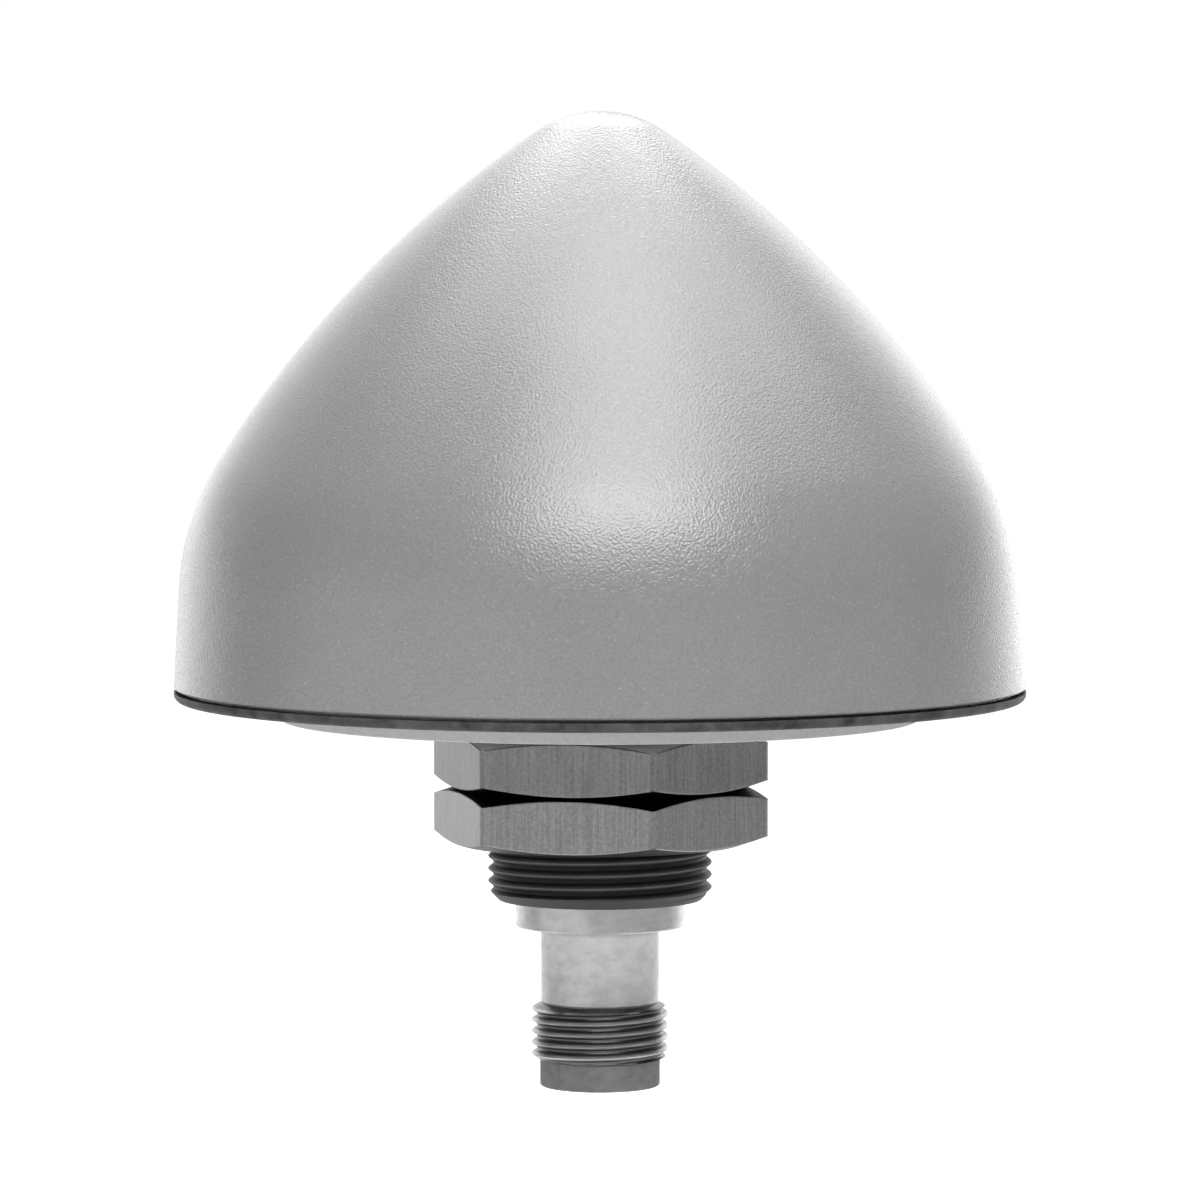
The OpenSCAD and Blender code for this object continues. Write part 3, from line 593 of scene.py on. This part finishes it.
def height_inside(depth, radius):
    """The height at which the dome's profile at a depth has a radius."""
    points = dome_profile(depth, edge_z)
    for (r_low, z_low), (r_high, z_high) in zip(points, points[1:]):
        if r_high <= radius <= r_low:
            return z_low + (z_high - z_low) * (r_low - radius) / (r_low - r_high)


# ASA plastic, moulded on a spark-eroded face: mid grey and satin, with a fine pebble that breaks up the light
radome_grey, tree, shader = new_material("ASA plastic, moulded with an eroded grain", IOR=1.58,
                                          Specular_IOR_Level=0.8)
coordinates = add(tree, "ShaderNodeTexCoord").outputs["Object"]
pebble_size = 0.2 * MM
pebble_depth = 0.05 * MM
pebble_share = 0.2
pebble = add(tree, "ShaderNodeTexNoise", {"Vector": coordinates, "Scale": 1 / pebble_size, "Detail": 1.0,
             "Roughness": 0.5})
drift_size = 9.0 * MM
drift = add(tree, "ShaderNodeTexNoise", {"Vector": coordinates, "Scale": 1 / drift_size, "Detail": 3.0})
tones = add(tree, "ShaderNodeMix", {0: drift, 6: linear("#8b8b8b"), 7: linear("#939393")}, data_type="RGBA")
grained = add(tree, "ShaderNodeMix", {0: pebble_share, 6: tones.outputs[2], 7: pebble},
              data_type="RGBA", blend_type="OVERLAY")
tree.links.new(grained.outputs[2], shader.inputs["Base Color"])
sheen = add(tree, "ShaderNodeMapRange", {"Value": pebble, "To Min": 0.2, "To Max": 0.3})
tree.links.new(sheen.outputs[0], shader.inputs["Roughness"])
bump = add(tree, "ShaderNodeBump", {"Strength": 1.0, "Distance": pebble_depth, "Height": pebble})
tree.links.new(bump.outputs[0], shader.inputs["Normal"])

outer = dome_profile(0.0, edge_z + edge_round)
inner = dome_profile(wall, land_z)
shell = turned(inner[::-1] + [(land_r, land_z), (land_r, rim_z), (foot_r, rim_z), (foot_r, edge_z),
                              (edge_r - edge_round, edge_z)] + outer, radome_turns)
radome = welded("radome_shell", radome_grey, shell)
bosses = []
for step in range(boss_count):
    turn = boss_turn + step * math.tau / boss_count
    centre = boss_circle * Vector((math.cos(turn), math.sin(turn)))

    def top_height(angle, centre=centre):
        """The height in the middle of the wall over a point on the boss's side."""
        on_side = centre + boss_r * Vector((math.cos(angle), math.sin(angle)))
        return height_inside(mid_wall, on_side.length)

    boss = turned([(0.0, boss_pilot_top), (boss_pilot_r, boss_pilot_top), (boss_pilot_r, boss_bottom),
                   (boss_r, boss_bottom), (boss_r, top_height),
                   (0.0, height_inside(mid_wall, boss_circle))], boss_turns)
    for vertex in boss.vertices:
        vertex.co.xy += centre
    bosses.append(boss)
boss_group = welded("bosses", radome_grey, *bosses)
union = radome.modifiers.new("bosses", "BOOLEAN")
union.operation = "UNION"
union.object = boss_group
union.solver = "EXACT"
fused = bpy.data.meshes.new_from_object(radome.evaluated_get(bpy.context.evaluated_depsgraph_get()))
bpy.data.objects.remove(boss_group)
bpy.data.objects.remove(radome)
radome = welded("radome_shell", radome_grey, fused)
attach(radome, "root")
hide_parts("radome")


# Gasket: a ring cut from light grey closed-cell foam rubber, stuck in a recess under the base.
# It seals on the panel and hides the radome's screws.

gasket_low, gasket_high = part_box("base_gasket")
gasket_r = gasket_high.x
gasket_in_r = 14.956 * MM
gasket_edge = 0.04 * MM

# Foam rubber, die cut: pale, dead matt, pricked with fine cells
foam, tree, shader = new_material("closed-cell foam rubber, die cut", Roughness=0.85, IOR=1.45)
coordinates = add(tree, "ShaderNodeTexCoord").outputs["Object"]
cell_size = 0.35 * MM
cell_depth = 0.03 * MM
cells = add(tree, "ShaderNodeTexVoronoi", {"Vector": coordinates, "Scale": 1 / cell_size})
tones = add(tree, "ShaderNodeMix", {0: cells.outputs["Distance"], 6: linear("#e2e2e2"), 7: linear("#d5d5d5")},
            data_type="RGBA")
tree.links.new(tones.outputs[2], shader.inputs["Base Color"])
bump = add(tree, "ShaderNodeBump", {"Strength": 0.5, "Distance": cell_depth,
           "Height": cells.outputs["Distance"]})
tree.links.new(bump.outputs[0], shader.inputs["Normal"])

gasket_section = [(gasket_in_r, gasket_high.z), (gasket_in_r, gasket_low.z + gasket_edge),
                  (gasket_in_r + gasket_edge, gasket_low.z), (gasket_r - gasket_edge, gasket_low.z),
                  (gasket_r, gasket_low.z + gasket_edge), (gasket_r, gasket_high.z)]
gasket = welded("foam_gasket", foam, turned(gasket_section + gasket_section[:1]))
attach(gasket, "root")
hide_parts("base_gasket")


# Nuts: two thin M18 x 1 nuts, sawn from drawn hexagon bar, chamfered on both faces, nickel plated, and run up
# on the stud. The bar's drawing lines stay on their sides.

nut_across_flats = 24.0 * MM
nut_face_r = 11.5 * MM
nut_chamfer = math.radians(19)
nut_slope = math.tan(nut_chamfer)
nut_play = 0.05 * MM
nut_bore_r = stud_r + nut_play
nut_countersink = 0.4 * MM
countersink_r = nut_bore_r + nut_countersink
nut_turn = math.radians(-12.3)
nut_turns = 192
nut_edge = 0.08 * MM
nut_corner = 0.5 * MM
nut_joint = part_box("upper_nut")[0].z
joint_shade_reach = 0.95 * MM


def drawn_plate(name, dark, light):
    """Nickel plate on drawn bar: satin grey, flecked, and streaked along the bar.

    The top chamfer is painted pale and less metallic as painted light, the two chamfers at the joint are
    painted black as painted shade, and the lowest is painted darker as painted shade.
    """
    material, tree, shader = new_material(name)
    coordinates = add(tree, "ShaderNodeTexCoord").outputs["Object"]
    streak_w = 0.2 * MM
    streak_l = 7.0 * MM
    streaks_at = add(tree, "ShaderNodeMapping", {"Vector": coordinates,
                     "Scale": (1 / streak_w, 1 / streak_w, 1 / streak_l)})
    streaks = add(tree, "ShaderNodeTexNoise", {"Vector": streaks_at, "Scale": 1.0, "Detail": 3.0,
                  "Roughness": 0.6})
    fleck_size = 0.22 * MM
    fleck_share = 0.45
    flecks = add(tree, "ShaderNodeTexNoise", {"Vector": coordinates, "Scale": 1 / fleck_size, "Detail": 2.0})
    mottled = add(tree, "ShaderNodeMix", {0: fleck_share, 2: streaks, 3: flecks})
    tones = add(tree, "ShaderNodeMapRange", {"Value": mottled, "From Min": 0.32, "From Max": 0.68})
    plate = add(tree, "ShaderNodeMix", {0: tones, 6: linear(dark), 7: linear(light)}, data_type="RGBA")
    height = add(tree, "ShaderNodeSeparateXYZ", (coordinates,)).outputs["Z"]
    above_joint = add(tree, "ShaderNodeMath", (height, nut_joint + joint_shade_reach), operation="GREATER_THAN")
    facing = add(tree, "ShaderNodeSeparateXYZ", (add(tree, "ShaderNodeNewGeometry").outputs["True Normal"],))
    upright = add(tree, "ShaderNodeMath", (facing.outputs["Z"],), operation="ABSOLUTE")
    chamfer_tilt = math.cos(nut_chamfer)
    tilt_range = 0.04
    on_chamfer = add(tree, "ShaderNodeMath", (upright, chamfer_tilt, tilt_range), operation="COMPARE")
    # Painted light on the top chamfer, pale, and painted shade on the lowest chamfer, darker
    chamfer = add(tree, "ShaderNodeMix", {0: above_joint, 6: linear("#565656"), 7: linear("#f0f0f0")},
                  data_type="RGBA")
    # Painted shade: the two chamfers where the nuts meet are painted near black
    near_joint = add(tree, "ShaderNodeMath", (height, nut_joint, joint_shade_reach), operation="COMPARE")
    chamfer = add(tree, "ShaderNodeMix", {0: near_joint, 6: chamfer.outputs[2], 7: linear("#161616")},
                  data_type="RGBA")
    plate = add(tree, "ShaderNodeMix", {0: on_chamfer, 6: plate.outputs[2], 7: chamfer.outputs[2]},
                data_type="RGBA")
    # The painted light on the top chamfer also takes most of its metal away, so it shows pale
    painted_light_chamfer = add(tree, "ShaderNodeMath", (on_chamfer, above_joint), operation="MULTIPLY")
    bare = add(tree, "ShaderNodeMapRange", {"Value": painted_light_chamfer, "To Min": 1.0, "To Max": 0.1})
    tree.links.new(bare.outputs[0], shader.inputs["Metallic"])
    tree.links.new(plate.outputs[2], shader.inputs["Base Color"])
    satin = add(tree, "ShaderNodeMapRange", {"Value": mottled, "To Min": 0.35, "To Max": 0.6})
    tree.links.new(satin.outputs[0], shader.inputs["Roughness"])
    streak_depth = 0.006 * MM
    bump = add(tree, "ShaderNodeBump", {"Strength": 0.7, "Distance": streak_depth, "Height": mottled})
    tree.links.new(bump.outputs[0], shader.inputs["Normal"])
    return material


hexagon_r = hexagon(nut_across_flats, nut_turn)
corner_from_r = 0.99 * hexagon_r(nut_turn)
# The two nuts share one plating: the upper is painted darker as painted shade and the lower lighter as
# painted light
for node, painted_tone, dark, light in (("upper_nut", "with_painted_shade", "#747474", "#a0a0a0"),
                                  ("lower_nut", "with_painted_light", "#868686", "#b3b3b3")):
    drawn_nickel = drawn_plate("nickel plate on drawn hexagon bar, " + painted_tone, dark, light)
    nut_low, nut_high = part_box(node)

    def upper_edge(angle, top=nut_high.z):
        """The height at which the upper chamfer meets the nut's side."""
        return top - (hexagon_r(angle) - nut_face_r) * nut_slope

    def lower_edge(angle, bottom=nut_low.z):
        """The height at which the lower chamfer meets the nut's side."""
        return bottom + (hexagon_r(angle) - nut_face_r) * nut_slope

    nut_section = [(nut_bore_r, nut_high.z - nut_countersink), (countersink_r, nut_high.z),
                   (nut_face_r, nut_high.z), (hexagon_r, upper_edge), (hexagon_r, lower_edge),
                   (nut_face_r, nut_low.z), (countersink_r, nut_low.z),
                   (nut_bore_r, nut_low.z + nut_countersink)]
    nut_mesh = turned(nut_section + nut_section[:1], nut_turns, nut_turn)
    nut = welded(node + "_chamfered", drawn_nickel, nut_mesh)
    shares = nut.data.attributes.new("bevel_weight_edge", "FLOAT", "EDGE").data
    for edge in nut.data.edges:
        first, second = (nut.data.vertices[i].co for i in edge.vertices)
        on_side = min(first.xy.length, second.xy.length) > nut_across_flats / 2 - WELD
        is_upright = (first - second).xy.length < WELD
        is_corner = on_side and is_upright and first.xy.length > corner_from_r
        if is_corner:
            shares[edge.index].value = 1.0
        elif on_side and not is_upright:
            shares[edge.index].value = nut_edge / nut_corner
    bevel = nut.modifiers.new("broken edges", "BEVEL")
    bevel.width = nut_corner
    bevel.segments = 3
    bevel.limit_method = "WEIGHT"
    bevel.harden_normals = True
    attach(nut, "root")
    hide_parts(node)


# Studio: a pale paper floor well below the held antenna and a white backdrop behind it, in a room that is dim
# on the camera's side. Softboxes stand in front, overhead, behind and at both sides. The camera stands a
# little above the base and looks slightly down.

floor_z = -0.12
floor_half = 4.0
shadow_reach = 0.14
shadow_end = 3 * shadow_reach
backdrop_from, backdrop_full = 0.4, 0.95
room_in_front, room_behind = 0.05, 0.5
floor_mesh = bpy.data.meshes.new("floor")
floor_corners = [(x * floor_half, y * floor_half, floor_z) for x, y in ((-1, -1), (1, -1), (1, 1), (-1, 1))]
floor_mesh.from_pydata(floor_corners, [], [(0, 1, 2, 3)])
floor = bpy.data.objects.new("floor", floor_mesh)
bpy.context.scene.collection.objects.link(floor)

# White paper: it shows white to the camera and, behind the antenna, to what metal reflects, and it keeps the
# shadow that falls on it. From below it is clear, so that the antenna's underside can be looked at
paper, tree, shader = new_material("white paper", Roughness=0.9, Specular_IOR_Level=0.1)
path = add(tree, "ShaderNodeLightPath").outputs
seen = path["Is Camera Ray"]
tones = add(tree, "ShaderNodeMix", {0: seen, 6: linear("#e4e4e4"), 7: linear("#c4c4c4")}, data_type="RGBA")
tree.links.new(tones.outputs[2], shader.inputs["Base Color"])
coordinates = add(tree, "ShaderNodeTexCoord").outputs["Object"]
place = add(tree, "ShaderNodeSeparateXYZ", (coordinates,))
behind = add(tree, "ShaderNodeMapRange", {"Value": place.outputs["Y"], "From Min": backdrop_from,
             "From Max": backdrop_full}, interpolation_type="SMOOTHSTEP")
mirrored = add(tree, "ShaderNodeMath", (path["Is Glossy Ray"], path["Is Transmission Ray"]),
               operation="MAXIMUM")
shown = add(tree, "ShaderNodeMath", (mirrored, behind, seen), operation="MULTIPLY_ADD")
from_middle = add(tree, "ShaderNodeVectorMath", (coordinates, (0.0, 0.0, floor_z)), operation="DISTANCE")
fill = add(tree, "ShaderNodeMapRange", {"Value": from_middle.outputs["Value"], "From Min": shadow_reach,
           "From Max": shadow_end, "To Min": 0.0, "To Max": 1.0}, interpolation_type="SMOOTHSTEP")
glow = add(tree, "ShaderNodeMath", (shown, fill), operation="MULTIPLY")
shader.inputs["Emission Color"].default_value = (1.0, 1.0, 1.0, 1.0)
tree.links.new(glow.outputs[0], shader.inputs["Emission Strength"])
from_below = add(tree, "ShaderNodeNewGeometry").outputs["Backfacing"]
sheet = add(tree, "ShaderNodeMixShader", (from_below, shader, add(tree, "ShaderNodeBsdfTransparent")))
tree.links.new(sheet.outputs[0], tree.nodes["Material Output"].inputs["Surface"])
floor_mesh.materials.append(paper)

# Room and backdrop: dim in front and brighter behind. They show white to the camera and, behind the antenna,
# to what metal reflects
world = bpy.data.worlds.new("studio")
bpy.context.scene.world = world
world.use_nodes = True
tree = world.node_tree
background = tree.nodes["Background"]
direction = add(tree, "ShaderNodeSeparateXYZ", (add(tree, "ShaderNodeTexCoord").outputs["Generated"],))
behind = add(tree, "ShaderNodeMapRange", {"Value": direction.outputs["Y"], "From Min": backdrop_from,
             "From Max": backdrop_full}, interpolation_type="SMOOTHSTEP")
room = add(tree, "ShaderNodeMapRange", {"Value": behind, "To Min": room_in_front, "To Max": room_behind})
path = add(tree, "ShaderNodeLightPath").outputs
mirrored = add(tree, "ShaderNodeMath", (path["Is Glossy Ray"], path["Is Transmission Ray"]),
               operation="MAXIMUM")
shown = add(tree, "ShaderNodeMath", (mirrored, behind, path["Is Camera Ray"]), operation="MULTIPLY_ADD")
level = add(tree, "ShaderNodeMix", {0: shown, 2: room, 3: 1.0})
tree.links.new(level.outputs[0], background.inputs["Strength"])
background.inputs["Color"].default_value = (1.0, 1.0, 1.0, 1.0)

aim = Vector((0.0, 0.0, 0.015))


def softbox(name, azimuth, elevation, distance, width, height, power):
    """A rectangular lamp aimed at the antenna, in degrees, metres and watts.

    Azimuth 0 is the camera's side and 90 is the right.
    """
    lamp = bpy.data.lights.new(name, "AREA")
    lamp.shape = "RECTANGLE"
    lamp.size = width
    lamp.size_y = height
    lamp.energy = power
    lamp_object = bpy.data.objects.new(name, lamp)
    bpy.context.scene.collection.objects.link(lamp_object)
    a, e = math.radians(azimuth), math.radians(elevation)
    away = Vector((math.sin(a) * math.cos(e), -math.cos(a) * math.cos(e), math.sin(e)))
    lamp_object.visible_camera = False
    lamp_object.location = aim + distance * away
    lamp_object.rotation_euler = away.to_track_quat("Z", "Y").to_euler()


softbox("front softbox", 7, 42, 0.9, 0.74, 0.44, 3.7)
softbox("strip softbox", 8, 62, 0.9, 0.62, 0.9, 4.75)
softbox("overhead softbox", 162, 77, 0.8, 1.2, 0.7, 5.5)
softbox("back softbox", 180, 50, 1.0, 0.6, 0.6, 4.1)
softbox("left strip softbox", -55, -1, 1.0, 1.5, 0.34, 1.13)
softbox("left rim softbox", -166, 25, 1.0, 0.4, 0.9, 0.75)
softbox("right rim softbox", 158, 20, 1.0, 0.4, 0.9, 1.1)
softbox("left low softbox", -146, 1, 1.0, 0.6, 0.22, 0.43)
softbox("right low softbox", 146, 1, 1.0, 0.6, 0.22, 0.42)

camera_data = bpy.data.cameras.new("camera")
camera_data.sensor_width = 36.0
camera_data.lens = 168.75
camera_data.clip_start = 0.01
camera = bpy.data.objects.new("camera", camera_data)
bpy.context.scene.collection.objects.link(camera)
camera_pitch = math.radians(3.357)
camera_away = 0.450
camera_height = 0.03588
camera.location = (0.0, -camera_away, camera_height)
camera.rotation_euler = (math.radians(90) - camera_pitch, 0.0, 0.0)
bpy.context.scene.camera = camera
bpy.context.scene.view_settings.view_transform = "Standard"
